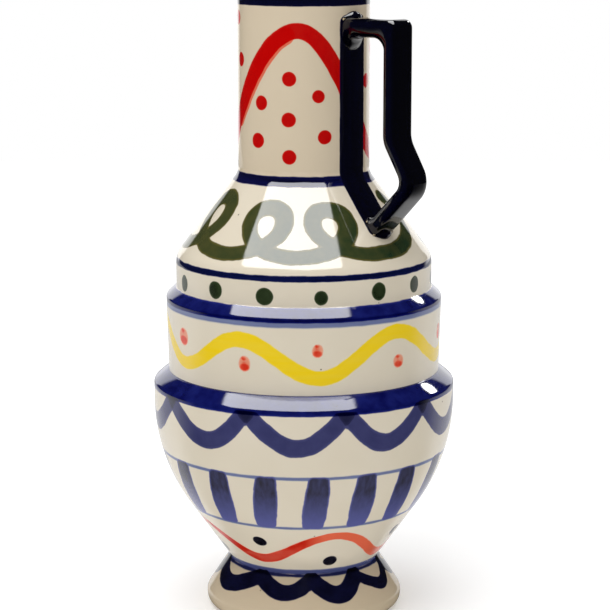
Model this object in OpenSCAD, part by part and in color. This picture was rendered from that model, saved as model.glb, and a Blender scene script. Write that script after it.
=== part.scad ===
// Handled vase. Five hollow sections are seated one on another with a thin bed of slip in each seam,
// and a strap handle is pressed against the neck and the shoulder and trimmed with two coils of clay.
// Millimetres. +Z is up, the origin is on the table under the axis, and the handle points to +X.

/* [Foot] */
// Height of the foot, from the table to the seam at the waist
foot_h = 29; // [26:0.5:36]
// Radius of the foot at its widest
foot_r = 55.8; // [50:0.1:64]
// Rounding of the edge at the table
foot_base_round = 6; // [3:0.1:7]
// Height of the straight part of the edge, over that rounding
foot_edge_h = 1; // [0.5:0.1:3]
// How far the bend between the edge and the flare reaches each way from their corner
foot_bend = 1.5; // [1:0.1:4]
// Width of the ring that the vase stands on, without its rounding
foot_ring_w = 5; // [3:0.1:7]
// Radius of the waist, where the belly stands on the foot
waist_r = 42.4; // [38:0.1:46]

/* [Belly] */
// Height of the belly, from the waist to the ledge under the drum
belly_h = 109.5; // [100:0.5:120]
// Widest radius of the belly
belly_r = 85; // [80:0.1:92]
// Level at which the bowl's two tangents meet, as a share of the bowl's height
bowl_bend = 0.64; // [0.55:0.005:0.7]
// Height of the upright wall between the bowl and the ledge's outer corner
upright_h = 10; // [6:0.1:14]
// Width of the sloping ledge that the drum stands behind
belly_ledge_w = 8.6; // [6:0.1:10]
// How far that ledge slopes down
belly_ledge_drop = 6.6; // [4:0.1:8]
// Rounding of that ledge's outer corner
belly_ledge_round = 3; // [1:0.1:5]
// Thickness of the floor over the foot's spigot
floor_t = 8; // [5:0.5:12]

/* [Drum] */
// Height of the middle drum, from ledge to ledge
drum_h = 47; // [40:0.5:56]
// How much wider the drum is at its upper end
drum_flare = 1; // [0:0.1:1.5]
// Width of the sloping ledge that the shoulder stands behind
drum_ledge_w = 5.6; // [3:0.1:7]
// How far that ledge slopes down
drum_ledge_drop = 5.1; // [3.5:0.1:6.5]
// Rounding of that ledge's outer corner
drum_ledge_round = 2; // [1:0.1:3]

/* [Shoulder] */
// Height of the shoulder, from the drum's ledge to the seam under the neck
shoulder_h = 68; // [60:0.5:78]
// Height of the upright band
band_h = 17.6; // [14:0.1:20]
// Rounding between the band and the cone
band_round = 14; // [6:0.5:16]
// Height of the straight collar on top of the cone
collar_h = 4; // [4:0.1:8]
// Rounding between the cone and the collar
collar_round = 10; // [5:0.5:11]

/* [Neck] */
// Height of the neck, from its seam to the rim
neck_h = 106.5; // [100:0.5:120]
// Outer radius of the neck
neck_r = 36.6; // [34:0.1:40]
// Rounding of the rim, outside and inside
rim_round = 2.6; // [1.5:0.1:2.8]

/* [Walls and seams] */
// Thickness of the walls, measured level
wall = 6.4; // [5.8:0.1:8]
// Thickness of the slip in each seam
slip_t = 0.6; // [0.4:0.1:1]
// Height of the spigot that keeps a section centred on the one below
spigot_h = 4; // [3:0.1:5]
// Radial clearance around a spigot
spigot_gap = 0.3; // [0.2:0.05:0.5]
// How far the slip stays behind the outer face
slip_set = 0.4; // [0.3:0.1:0.8]

/* [Handle] */
// Width of the strap
strap_w = 17; // [15:0.1:20]
// Thickness of the upper arm and the grip, in the strap's middle
strap_t = 10.6; // [9:0.1:12]
// Thickness of the kick and the lower arm
strap_low_t = 9.8; // [8.5:0.1:11]
// Gap for the fingers between the neck and the grip
finger_gap = 25.1; // [22:0.1:27]
// Depth of the upper arm's top face under the rim
arm_drop = 24.1; // [20:0.1:30]
// Length of the straight grip
grip_l = 64; // [58:0.1:68]
// Angle of the kick under the grip, from upright
kick_angle = 31.5; // [26:0.5:34]
// Length of the kick along its outer face, to the knee
kick_l = 28.2; // [26:0.1:30]
// Angle of the lower arm, from level
lower_arm_angle = 45; // [42:0.5:48]
// Rounding of the upper corner on its outer side
top_outer_round = 4; // [2:0.5:10]
// Rounding of the upper corner on its inner side
top_inner_round = 9; // [5:0.5:12]
// Rounding of the kick
kick_round = 14; // [8:0.5:18]
// Rounding of the knee on its outer side
knee_outer_round = 14; // [8:0.5:16]
// Rounding of the knee on its inner side
knee_inner_round = 6; // [4:0.5:8]
// Fillet under the upper arm and over the lower arm, at the wall
root_round = 7; // [4:0.5:8]
// Radius of the clay coil over the upper arm
upper_coil_r = 3.4; // [2:0.1:4]
// Radius of the clay coil under the lower arm
lower_coil_r = 3; // [2:0.1:4]

/* [Hidden] */
$fn = 96;

cream = "#E8DEC6";
navy = "#14143C";
fired_slip = "#CDBB98";

// Radii of the sections that step in behind a ledge
drum_r = belly_r - belly_ledge_w;
drum_top_r = drum_r + drum_flare;
band_r = drum_top_r - drum_ledge_w;

// Levels of the seams
ledge_z = foot_h + belly_h;
band_z = ledge_z + drum_h;
neck_z = band_z + shoulder_h;
rim_z = neck_z + neck_h;

// A spigot takes the inner part of the wall, and the slip lies on the outer part
spigot_w = wall / 2;
seat_room = slip_t + spigot_h;

// The cone of the shoulder, corner to corner
cone_low = [band_r, band_z + band_h];
cone_top = [neck_r, neck_z - collar_h];
cone_lean = atan((cone_low.x - cone_top.x) / (cone_top.y - cone_low.y));

// Steps on a rounded corner
corner_steps = 12;

function unit(v) = v / norm(v);
function mix(a, b, k) = a + (b - a) * k;
function reversed(list) = [for (i = [len(list) - 1:-1:0]) list[i]];

// Points of a round corner at b, on the way from a to c
function corner(a, b, c, r) =
    let (u = unit(a - b))
    let (w = unit(c - b))
    let (half = acos(u * w) / 2)
    let (sweep = 180 - 2 * half)
    let (centre = b + unit(u + w) * r / sin(half))
    let (start = b + u * r / tan(half) - centre)
    let (finish = b + w * r / tan(half) - centre)
    [for (i = [0:corner_steps])
        let (k = i / corner_steps)
        centre + (sin((1 - k) * sweep) * start + sin(k * sweep) * finish) / sin(sweep)];

// An open line of [point, rounding] pairs as plain points
function rounded(line) =
    [for (i = [0:len(line) - 1])
        each line[i][1] == 0
            ? [line[i][0]]
            : corner(line[i - 1][0], line[i][0], line[i + 1][0], line[i][1])];

// Top of a section under a seam: seat, spigot and the wall's inner edge
function seat(r, z) = [[r - spigot_w, z], [r - spigot_w, z + spigot_h], [r - wall, z + spigot_h]];

// Bottom of a section over a seam: the wall's inner edge, the recess for the spigot and the outer edge
function recess(r, z) =
    [[r - wall, z + seat_room], [r - spigot_w + spigot_gap, z + seat_room],
     [r - spigot_w + spigot_gap, z + slip_t], [r, z + slip_t]];

module turned(points) {
    rotate_extrude() polygon(points);
}

// Closed solid over rings of points, each ring with the same number of points
module tube(points, ring) {
    last = len(points) - ring;
    sides = [for (i = [0:ring:last - ring]) for (j = [0:ring - 1])
        let (a = i + j)
        let (b = i + (j + 1) % ring)
        each [[a, b, b + ring], [a, b + ring, a + ring]]];
    first_end = [for (j = [ring - 1:-1:0]) j];
    last_end = [for (j = [0:ring - 1]) last + j];
    polyhedron(points, concat(sides, [first_end], [last_end]));
}

module foot() {
    corner_z = foot_base_round + foot_edge_h + foot_bend;
    flare = atan((foot_r - waist_r) / (foot_h - corner_z));
    outside = rounded([
        [[foot_r - foot_base_round - foot_ring_w, 0], 0],
        [[foot_r, 0], foot_base_round],
        [[foot_r, corner_z], foot_bend / tan(flare / 2)],
        [[waist_r, foot_h], 0]]);
    color(cream) turned(concat(outside, seat(waist_r, foot_h)));
}

module belly() {
    floor_z = foot_h + seat_room + floor_t;
    bottom_z = foot_h + slip_t;
    bowl_top_z = ledge_z - belly_ledge_drop - upright_h;
    bend = [belly_r, mix(bottom_z, bowl_top_z, bowl_bend)];
    lean = (belly_r - waist_r) / (bend.y - bottom_z);
    bowl_round = (bowl_top_z - bend.y) / tan(atan(lean) / 2);
    bowl = corner([waist_r, bottom_z], bend, [belly_r, ledge_z], bowl_round);
    ledge = rounded([
        [bowl[corner_steps], 0],
        [[belly_r, ledge_z - belly_ledge_drop], belly_ledge_round],
        [[drum_r, ledge_z], 0]]);
    inside = [for (p = reversed(bowl)) p - [wall, 0]];
    color(cream) turned(concat(
        [[0, foot_h + seat_room]],
        [for (i = [1:3]) recess(waist_r, foot_h)[i]],
        bowl, ledge, seat(drum_r, ledge_z),
        [[drum_r - wall, ledge_z - belly_ledge_w]],
        inside,
        [[waist_r + (floor_z - bottom_z) * lean - wall, floor_z], [0, floor_z]]));
}

module middle_drum() {
    inner_edge_z = band_z - drum_ledge_w;
    ledge = rounded([
        [[drum_top_r, band_z - 2 * drum_ledge_drop], 0],
        [[drum_top_r, band_z - drum_ledge_drop], drum_ledge_round],
        [[band_r, band_z], 0]]);
    color(cream) turned(concat(
        recess(drum_r, ledge_z), ledge, seat(band_r, band_z),
        [[band_r - wall, inner_edge_z], [drum_r - wall, inner_edge_z - wall]]));
}

module shoulder() {
    outside = rounded([
        [[band_r, band_z + slip_t], 0],
        [cone_low, band_round],
        [cone_top, collar_round],
        [[neck_r, neck_z], 0]]);
    color(cream) turned(concat(
        recess(band_r, band_z), outside, seat(neck_r, neck_z),
        [cone_top - [wall, 0], cone_low - [wall, wall / 2]]));
}

module neck() {
    lip = rounded([
        [[neck_r, neck_z + slip_t], 0],
        [[neck_r, rim_z], rim_round],
        [[neck_r - wall, rim_z], rim_round],
        [[neck_r - wall, neck_z + seat_room], 0]]);
    color(cream) turned(concat(recess(neck_r, neck_z), [for (i = [1:len(lip) - 2]) lip[i]]));
}

module slip_ring(r, z) {
    inner_r = r - spigot_w + spigot_gap;
    color(fired_slip) translate([0, 0, z]) rotate_extrude()
        translate([inner_r, 0]) square([r - slip_set - inner_r, slip_t]);
}

module foot_slip() {
    slip_ring(waist_r, foot_h);
}

module belly_slip() {
    slip_ring(drum_r, ledge_z);
}

module drum_slip() {
    slip_ring(band_r, band_z);
}

module neck_slip() {
    slip_ring(neck_r, neck_z);
}

// The handle's outer line in the XZ plane, from the neck down to the shoulder
grip_r = neck_r + finger_gap + strap_t;
arm_z = rim_z - arm_drop;
kick_z = arm_z - grip_l;
knee = [grip_r, kick_z] + kick_l * [sin(kick_angle), -cos(kick_angle)];
lower_arm = -[cos(lower_arm_angle), sin(lower_arm_angle)];

// Where the lower arm's outer line meets the cone
cone_slope = tan(cone_lean);
to_cone = (knee.x - cone_low.x + (knee.y - cone_low.y) * cone_slope)
    / (cos(lower_arm_angle) + sin(lower_arm_angle) * cone_slope);
lower_root = knee + lower_arm * to_cone;
outer_line = [[neck_r, arm_z], [grip_r, arm_z], [grip_r, kick_z], knee, lower_root];

// The side of a line that faces the neck
function inward(v) = [v.y, -v.x];

// A corner of the line, moved towards the neck by the strap's thickness before it and after it
function inset(line, i, before_t, after_t) =
    let (before = inward(unit(line[i] - line[i - 1])))
    let (after = inward(unit(line[i + 1] - line[i])))
    let (turn = before.x * after.y - before.y * after.x)
    line[i] + [before_t * after.y - after_t * before.y, after_t * before.x - before_t * after.x] / turn;

// Fillet of an arm's root: how much it thickens at a distance d from the wall
function thickening(d) = root_round - sqrt(root_round ^ 2 - (root_round - d) ^ 2);

// Rings of an arm's root as pairs of an outer and an inner point, from inside the wall to the fillet's end.
// The arm is drawn into the wall by a share of its thickness, and the wall's face trims it.
root_steps = 5;
bury_share = 0.8;
root_bury = wall * bury_share;
function root(at, way, side, thickness) =
    [for (i = [-1:root_steps])
        let (d = i < 0 ? -root_bury : root_round * i / root_steps)
        [at + way * d, at + way * d + side * (thickness + thickening(max(d, 0)))]];

// Rings of a bend at corner i of the outer line
inner_line = [outer_line[0] - [0, strap_t], inset(outer_line, 1, strap_t, strap_t),
              inset(outer_line, 2, strap_t, strap_low_t), inset(outer_line, 3, strap_low_t, strap_low_t),
              lower_root + inward(lower_arm) * strap_low_t];
function bend(i, outer_round, inner_round) =
    let (outer = corner(outer_line[i - 1], outer_line[i], outer_line[i + 1], outer_round))
    let (inner = corner(inner_line[i - 1], inner_line[i], inner_line[i + 1], inner_round))
    [for (j = [0:corner_steps]) [outer[j], inner[j]]];

handle_rings = concat(
    root([neck_r, arm_z], [1, 0], [0, -1], strap_t),
    bend(1, top_outer_round, top_inner_round),
    bend(2, kick_round, kick_round),
    bend(3, knee_outer_round, knee_inner_round),
    reversed(root(lower_root, -lower_arm, inward(lower_arm), strap_low_t)));

// Half-round section of the strap: u runs from the outer face (0) to the inner crest (1), v across. The
// strap is widest at edge_u, and a lower power makes that side squarer.
section_steps = 28;
edge_u = 0.36;
outer_power = 0.45;
inner_power = 0.9;
function power(x, p) = sign(x) * abs(x) ^ p;
strap_section = [for (i = [0:section_steps - 1])
    let (a = 360 * i / section_steps)
    sin(a) > 0
        ? [edge_u - edge_u * power(sin(a), outer_power), power(cos(a), outer_power)]
        : [edge_u - (1 - edge_u) * power(sin(a), inner_power), power(cos(a), inner_power)]];

module strap() {
    points = [for (ring = handle_rings) for (s = strap_section)
        let (p = mix(ring[0], ring[1], s[0]))
        [p.x, s[1] * strap_w / 2, p.y]];
    tube(points, section_steps);
}

// Everything inside the shoulder's cone and the neck, with a layer on the outer face
module wall_face(layer) {
    turned([
        [0, cone_low.y],
        cone_low + [layer / cos(cone_lean), 0],
        cone_top + layer * [1, tan(cone_lean / 2)],
        [neck_r + layer, rim_z],
        [0, rim_z]]);
}

module handle() {
    color(navy) difference() {
        strap();
        wall_face(slip_t);
    }
}

// Slip behind a root: the part of the layer on the wall that lies in a block
module root_slip(at, way, side, thickness, depth) {
    pad_w = strap_w - 4 * slip_set;
    pad_h = thickness - 2 * slip_set;
    centre = at + side * (slip_set + pad_h / 2);
    color(fired_slip) intersection() {
        difference() {
            wall_face(slip_t);
            wall_face(0);
        }
        translate([centre.x, 0, centre.y]) rotate([0, -atan2(way.y, way.x), 0])
            cube([2 * depth, pad_w, pad_h], center = true);
    }
}

module handle_upper_slip() {
    root_slip([neck_r, arm_z], [1, 0], [0, -1], strap_t, wall);
}

module handle_lower_slip() {
    root_slip(lower_root, -lower_arm, inward(lower_arm), strap_low_t, 2 * wall);
}

// Coil of clay thumbed into the corner between an arm and the wall, thin at both ends. Its section is a
// piece of a disc between two angles, and it follows the wall round the axis.
coil_steps = 16;
coil_sides = 8;
coil_tip = 0.1;
module coil(at, radius, low_angle, high_angle) {
    half_angle = asin(strap_w / 2 / at.x);
    points = [for (i = [0:coil_steps])
        let (k = 2 * i / coil_steps - 1)
        let (r = radius * max(sqrt(1 - k ^ 2), coil_tip))
        for (j = [-1:coil_sides])
            let (a = mix(low_angle, high_angle, j / coil_sides))
            let (p = j < 0 ? at : at + r * [cos(a), sin(a)])
            [p.x * cos(k * half_angle), p.x * sin(k * half_angle), p.y]];
    tube(points, coil_sides + 2);
}

module handle_upper_coil() {
    color(navy) coil([neck_r, arm_z], upper_coil_r, 0, 90);
}

module handle_lower_coil() {
    color(navy) coil(lower_root, lower_coil_r, cone_lean - 90, lower_arm_angle);
}

foot();
foot_slip();
belly();
belly_slip();
middle_drum();
drum_slip();
shoulder();
neck_slip();
neck();
handle();
handle_upper_slip();
handle_lower_slip();
handle_upper_coil();
handle_lower_coil();
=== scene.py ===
import bpy
import bmesh
import math
import numpy as np
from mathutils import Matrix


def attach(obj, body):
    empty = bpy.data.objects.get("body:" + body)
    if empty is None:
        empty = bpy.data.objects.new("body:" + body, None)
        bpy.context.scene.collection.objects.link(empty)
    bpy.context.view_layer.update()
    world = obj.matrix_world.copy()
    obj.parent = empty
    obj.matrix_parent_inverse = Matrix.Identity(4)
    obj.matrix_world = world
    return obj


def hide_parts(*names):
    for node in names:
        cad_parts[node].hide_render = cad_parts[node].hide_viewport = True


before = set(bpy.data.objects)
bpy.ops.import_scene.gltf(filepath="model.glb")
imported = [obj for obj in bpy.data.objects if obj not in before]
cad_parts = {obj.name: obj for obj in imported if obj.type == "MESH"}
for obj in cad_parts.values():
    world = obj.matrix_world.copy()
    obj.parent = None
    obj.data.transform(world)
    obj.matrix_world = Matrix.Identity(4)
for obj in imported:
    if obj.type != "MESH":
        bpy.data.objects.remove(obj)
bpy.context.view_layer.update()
print("frame loaded with", len(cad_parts), "nodes")

mm = 0.001                          # a millimetre in Blender's metres
frontAngle = -47.0                  # the painted front, in degrees from the handle's side
hand = np.random.RandomState(11)    # unevenness of the painter's hand, the same on each run
farAway = 30.0                      # millimetres from a brush mark, beyond the reach of any

bpy.context.scene.view_settings.view_transform = "Standard"


def linear(hexText):
    parts = [int(hexText[i:i + 2], 16) / 255 for i in (1, 3, 5)]
    return [c / 12.92 if c <= 0.04045 else ((c + 0.055) / 1.055) ** 2.4 for c in parts] + [1.0]


def addNode(tree, kind, settings=None, inputs=None):
    node = tree.nodes.new(kind)
    for key, value in (settings or {}).items():
        setattr(node, key, value)
    for key, value in (inputs or {}).items():
        if isinstance(value, bpy.types.NodeSocket):
            tree.links.new(value, node.inputs[key])
        else:
            node.inputs[key].default_value = value
    return node


def emptyTree(owner):
    owner.use_nodes = True
    owner.node_tree.nodes.clear()
    return owner.node_tree


# The camera stands where the photo was taken, a little above the vase's neck and looking down
shot = {"azimuth": 43.0, "reach": 1.1486, "height": 0.394, "pitch": 10.88, "turn": 0.033, "lens": 122.16}

bpy.ops.object.select_all(action="DESELECT")
way = math.radians(shot["azimuth"])
bpy.ops.object.camera_add(
    location=(shot["reach"] * math.sin(way), -shot["reach"] * math.cos(way), shot["height"]),
    rotation=(math.radians(90 - shot["pitch"]), 0, math.radians(shot["azimuth"] - shot["turn"])))
camera = bpy.context.object
camera.name = "photoCamera"
camera.data.lens = shot["lens"]
camera.data.sensor_width = 36
bpy.context.scene.camera = camera
print("camera set")


# Lines of a turned section are lists of (radius, height) in millimetres. Each section stands on the one
# below by a spigot in a recess, over a bed of slip that a thin skirt of glazed clay hides.
clay = {"wall": 6.4, "spigot": 4.0, "slip": 0.6, "play": 0.3, "skirt": 0.4, "overlap": 0.3}


def roundCorner(before, at, after, radius, steps=14):
    before, at, after = (np.array(p, float) for p in (before, at, after))
    u = (before - at) / np.linalg.norm(before - at)
    w = (after - at) / np.linalg.norm(after - at)
    half = math.acos(np.clip(u @ w, -1, 1)) / 2
    sweep = math.pi - 2 * half
    centre = at + (u + w) / np.linalg.norm(u + w) * radius / math.sin(half)
    start = at + u * radius / math.tan(half) - centre
    end = at + w * radius / math.tan(half) - centre
    marks = np.linspace(0, 1, steps + 1)
    return [tuple(centre + (math.sin((1 - k) * sweep) * start + math.sin(k * sweep) * end) / math.sin(sweep))
            for k in marks]


def bulged(a, b, rise, steps=8):
    # a nearly straight slope from a to b that swells by the rise in its middle
    a, b = np.array(a, float), np.array(b, float)
    side = np.array([b[1] - a[1], a[0] - b[0]]) / np.linalg.norm(b - a)
    return [tuple(a + (b - a) * k + side * rise * 4 * k * (1 - k)) for k in np.linspace(0, 1, steps + 1)]


def finer(line, step):
    points = [line[0]]
    for a, b in zip(line, line[1:]):
        count = max(1, math.ceil(math.dist(a, b) / step))
        points += [tuple(np.array(a) + (np.array(b) - np.array(a)) * i / count) for i in range(1, count + 1)]
    return points


def spigotLine(radius, top):
    # the wall's inner half goes on up into the section above
    seat = radius - clay["wall"] / 2
    tip = top + clay["spigot"]
    return [(seat, top), (seat, tip), (radius - clay["wall"], tip)]


def socketLine(radius, bottom, overlap):
    recess = radius - clay["wall"] / 2 + clay["play"]
    bed = bottom + clay["slip"]
    tip = bed + clay["spigot"]
    edge = radius - clay["skirt"]
    return [(radius - clay["wall"], tip), (recess, tip), (recess, bed), (edge, bed), (edge, bottom - overlap)]


def turnShell(name, outside, inside, around):
    # the section is drawn point by point and spun about the vase's axis
    section = outside + inside
    bpy.ops.object.select_all(action="DESELECT")
    bpy.ops.mesh.primitive_plane_add(size=mm, location=(section[0][0] * mm, 0, section[0][1] * mm))
    piece = bpy.context.object
    piece.name = name
    bpy.ops.object.transform_apply(location=True, rotation=True, scale=True)
    bpy.ops.object.mode_set(mode="EDIT")
    bpy.ops.mesh.select_all(action="SELECT")
    bpy.ops.mesh.merge(type="CENTER")
    for a, b in zip(section, section[1:]):
        bpy.ops.mesh.extrude_region_move(
            TRANSFORM_OT_translate={"value": ((b[0] - a[0]) * mm, 0, (b[1] - a[1]) * mm)})
    if math.hypot(section[0][0], section[-1][0]) > 0.01:    # a section that isn't closed by the axis
        mesh = bmesh.from_edit_mesh(piece.data)
        for vertex in mesh.verts:
            vertex.select = len(vertex.link_edges) == 1
        mesh.select_flush(True)
        bmesh.update_edit_mesh(piece.data)
        bpy.ops.mesh.edge_face_add()
    bpy.ops.mesh.select_all(action="SELECT")
    bpy.ops.mesh.spin(steps=around, angle=2 * math.pi, center=(0, 0, 0), axis=(0, 0, 1))
    bpy.ops.mesh.select_all(action="SELECT")
    bpy.ops.mesh.remove_doubles(threshold=0.00002)
    bpy.ops.mesh.normals_make_consistent(inside=False)
    bpy.ops.object.mode_set(mode="OBJECT")
    bpy.ops.object.shade_smooth_by_angle(angle=math.radians(35))
    return piece


# Brush marks are paths of (angle from the front, height, half width) on a shell's outside. Each kind of mark
# gets a field on the shell's points: the distance to the mark's edge in millimetres, below zero inside it.

def pointsOf(piece):
    flat = np.empty(len(piece.data.vertices) * 3)
    piece.data.vertices.foreach_get("co", flat)
    return flat.reshape(-1, 3) / mm


def skinOf(piece, outside):
    # where each point lies round the vase and along its outside, and whether it is on the outside at all
    points = pointsOf(piece)
    line = np.array(outside)
    run = np.concatenate([[0], np.cumsum(np.linalg.norm(np.diff(line, axis=0), axis=1))])
    radius = np.hypot(points[:, 0], points[:, 1])
    angle = np.degrees(np.arctan2(points[:, 1], points[:, 0])) - frontAngle
    near = np.full(len(points), np.inf)
    along = np.zeros(len(points))
    for a, b, start in zip(line, line[1:], run):
        step = b - a
        t = np.clip(((radius - a[0]) * step[0] + (points[:, 2] - a[1]) * step[1]) / (step @ step), 0, 1)
        gap = np.hypot(radius - a[0] - t * step[0], points[:, 2] - a[1] - t * step[1])
        closer = gap < near
        near[closer] = gap[closer]
        along[closer] = start + t[closer] * np.linalg.norm(step)
    return {"piece": piece, "points": points, "radius": radius, "angle": angle, "along": along,
            "outer": near < 0.2, "line": line, "run": run}


def lineAt(skin, height):
    # radius and run along the outside at a height, straight on past its ends
    up = np.argsort(skin["line"][:, 1], kind="stable")
    heights = skin["line"][up, 1]
    past = height - np.clip(height, heights[0], heights[-1])
    radius = np.interp(height, heights, skin["line"][up, 0])
    return radius, np.interp(height, heights, skin["run"][up]) + past


def keepValues(piece, name, values):
    layer = piece.data.attributes.new(name, "FLOAT", "POINT")
    layer.data.foreach_set("value", values.astype(np.float32))


def keepField(skin, name, values):
    keepValues(skin["piece"], name, np.where(skin["outer"], values, farAway))


def keepLevel(skin, heights):
    # off the outside it is lower than any painted ring
    keepValues(skin["piece"], "level", np.where(skin["outer"], heights, -100.0))


def strokeField(skin, strokes):
    field = np.full(len(skin["points"]), farAway)
    for stroke in strokes:
        stroke = np.array(stroke, float)
        radius = lineAt(skin, stroke[:, 1])[0]
        turn = np.radians(stroke[:, 0] + frontAngle)
        path = np.stack([radius * np.cos(turn), radius * np.sin(turn), stroke[:, 1]], axis=1)
        for a, b, ha, hb in zip(path, path[1:], stroke[:, 2], stroke[1:, 2]):
            reach = 14 + np.linalg.norm(b - a)      # millimetres, past the widest stroke's soft edge
            close = np.flatnonzero(np.abs(skin["points"] - a).max(axis=1) < reach)
            off = skin["points"][close] - a
            t = np.clip(off @ (b - a) / max((b - a) @ (b - a), 1e-9), 0, 1)
            gap = np.linalg.norm(off - t[:, None] * (b - a), axis=1) - (ha + (hb - ha) * t)
            field[close] = np.minimum(field[close], gap)
    return field


def patchField(skin, patches):
    # patches are (angle, low, high, half width, lean in degrees from low to high, rounding of the corners,
    # swell in the middle)
    field = np.full(len(skin["points"]), farAway)
    for angle, low, high, half, lean, rounding, swell in patches:
        runLow, runHigh = lineAt(skin, low)[1], lineAt(skin, high)[1]
        part = (skin["along"] - runLow) / (runHigh - runLow)
        turn = (skin["angle"] - angle - lean * (part - 0.5) + 180) % 360 - 180
        wide = half + swell * np.sin(math.pi * np.clip(part, 0, 1))
        across = np.abs(np.radians(turn) * skin["radius"]) - wide + rounding
        along = np.abs(skin["along"] - (runLow + runHigh) / 2) - (runHigh - runLow) / 2 + rounding
        beyond = np.hypot(np.maximum(across, 0), np.maximum(along, 0))
        within = np.minimum(np.maximum(across, along), 0)
        field = np.minimum(field, beyond + within - rounding)
    return field


def dotField(skin, dots):
    # dots are (angle, height, width, tallness)
    field = np.full(len(skin["points"]), farAway)
    for angle, height, width, tall in dots:
        turn = (skin["angle"] - angle + 180) % 360 - 180
        across = np.radians(turn) * skin["radius"] / (width / 2)
        along = (skin["along"] - lineAt(skin, height)[1]) / (tall / 2)
        field = np.minimum(field, (np.hypot(across, along) - 1) * min(width, tall) / 2)
    return field


def waveStroke(turns):
    # turns are (angle, height, half width) at each crest and trough, once round
    path = []
    ring = turns + [(turns[0][0] + 360, turns[0][1], turns[0][2])]
    for (a0, z0, h0), (a1, z1, h1) in zip(ring, ring[1:]):
        for t in np.arange(0, 1, 2.0 / (a1 - a0)):      # a point every two degrees
            path.append((a0 + (a1 - a0) * t, z0 + (z1 - z0) * (1 - math.cos(math.pi * t)) / 2,
                         h0 + (h1 - h0) * t))
    return path + [ring[-1]]


def scallopStrokes(scallops, top):
    # scallops are (angle of the left join, drop, half width), once round. Each leans a little to one side,
    # and the brush presses harder at the bottom.
    strokes = []
    for (a0, drop, half), (a1, _, _) in zip(scallops, scallops[1:] + [(scallops[0][0] + 360, 0, 0)]):
        skew = 0.04 * hand.randn()
        stroke = []
        for t in np.linspace(0, 1, 25):
            sag = math.sin(math.pi * (t + skew * math.sin(math.pi * t)))
            stroke.append((a0 + (a1 - a0) * t, top - drop * sag, half * (0.93 + 0.08 * sag)))
        strokes.append(stroke)
    return strokes


def loopStroke(skin, loops, low, reach, usual, tail):
    # running loops (angle, top, half width): down the left side of one, along the bottom and up the right
    # side of the next. The first and the last one only give the stroke's direction, and the tail ends it.
    # The usual half width gives the usual reach to the side.
    step = 1 / 56       # points on one loop
    path = []
    for i, ((a0, top0, _), (a1, top1, h1)) in enumerate(zip(loops, loops[1:])):
        for u in np.arange(0.5 if i == 0 else 0, 0.5 if i == len(loops) - 2 else 1, step):
            turn = 2 * math.pi * u
            height = low + ((top0 if u < 0.5 else top1) - low) * (1 + math.cos(turn)) / 2
            wide = reach + (h1 - usual if u > 0.5 else 0)
            sideways = math.degrees(wide / lineAt(skin, height)[0]) * math.sin(turn)
            half = usual + (h1 - usual) * max(0, -math.sin(turn))
            onward = u * u * (3 - 2 * u) + 0.03 * math.sin(2 * turn)
            path.append((a0 + (a1 - a0) * onward - sideways, height, half * (1 + 0.07 * math.cos(turn))))
    return path + tail


# Earthenware with brushed underglaze colours under a clear gloss glaze. The eye sees a warm cream body,
# colours that darken where strokes cross and thin out at their edges, and a skin of glaze that ripples its
# reflections.
glaze = {"cream": ("#DFD6C4", "#D9CEB8"), "warmCream": ("#D9CAB2", "#D3C3A8"),
         "footCream": ("#D4C4AA", "#CDBC9F"), "speck": "#4A4136", "bareClay": "#CDB793", "clayRough": 0.8,
         "rough": (0.035, 0.075), "ior": 1.52, "ripple": 0.00012, "peel": 0.000006}

# A usual coat of paint, in millimetres where it is a size. Each mark says how it differs.
coat = {"grain": "free", "uneven": 0.5, "depth": 1.2, "soft": 0.3, "waver": 1.6}


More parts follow.
